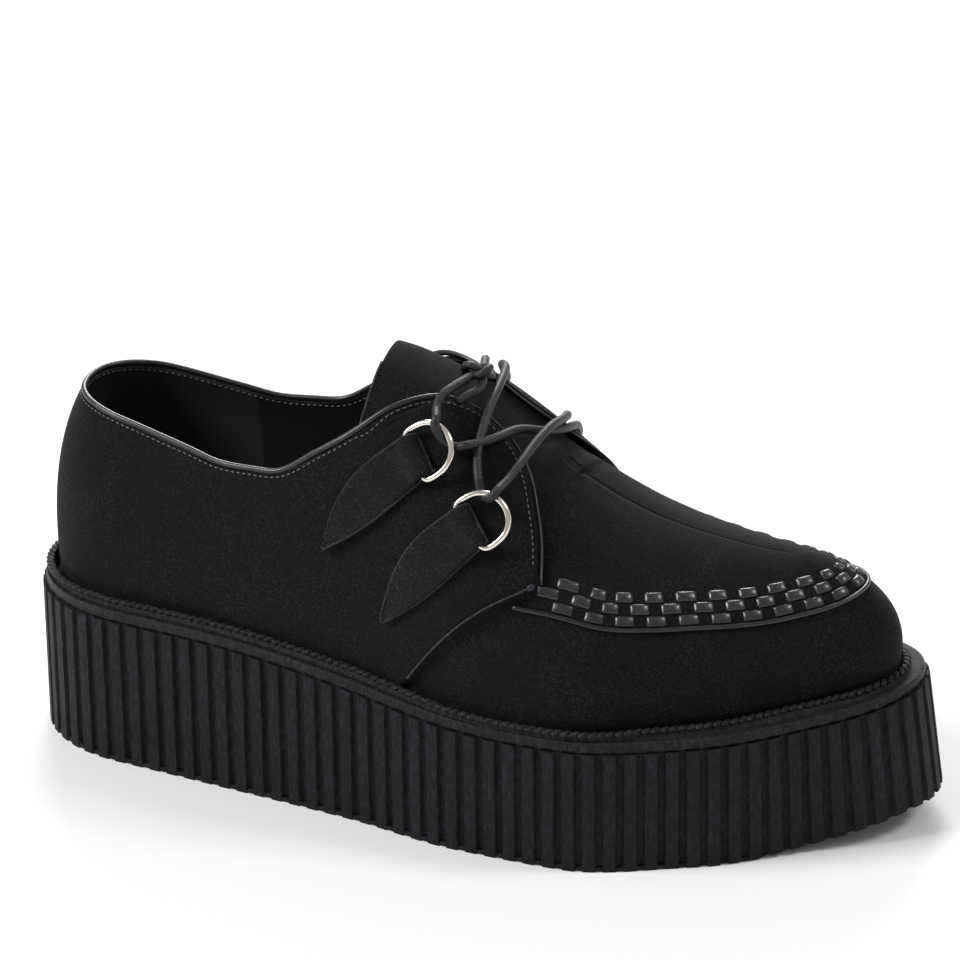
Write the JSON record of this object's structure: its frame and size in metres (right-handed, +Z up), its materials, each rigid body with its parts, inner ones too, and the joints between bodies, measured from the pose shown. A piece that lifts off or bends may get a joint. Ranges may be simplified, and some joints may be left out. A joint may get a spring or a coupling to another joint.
{
  "type": "creeper shoe",
  "caption": "Low lace-up shoe with a thick ribbed platform sole, a woven apron edge, ringed side tabs and a round toe.",
  "frame": {"origin": "bottom centre of the shoe's box, on the floor", "axes": "+X to the toe, +Y to the medial side of this right shoe, +Z up"},
  "size_m": [0.3104, 0.1194, 0.1496],
  "materials": {
    "platform_rubber": "matt ribbed rubber",
    "welt_rubber": "satin moulded rubber with a sewn ridge",
    "insole_lining": "matt pale lining",
    "suede": "black suede with a fine nap",
    "patent_piping": "glossy black piping",
    "woven_strip": "glossy interlaced leather strips",
    "nickel": "bright nickel plated wire",
    "lace_cord": "round braided cord with a light sheen"
  },
  "bodies": {
    "root": {"sole": "platform_rubber", "welt": "welt_rubber", "insole": "insole_lining", "upper": "suede", "tongue": "suede", "topline_piping": "patent_piping", "apron_piping": "patent_piping", "woven_band": "woven_strip", "tab_lateral_upper": "suede", "tab_lateral_lower": "suede", "tab_medial_upper": "suede", "tab_medial_lower": "suede", "ring_lateral_upper": "nickel", "ring_lateral_lower": "nickel", "ring_medial_upper": "nickel", "ring_medial_lower": "nickel", "lace_bar": "lace_cord", "lace_crossing": "lace_cord", "lace_knot": "lace_cord", "lace_leg_lateral": "lace_cord", "lace_leg_medial": "lace_cord", "lace_end": "lace_cord"}
  },
  "joints": []
}
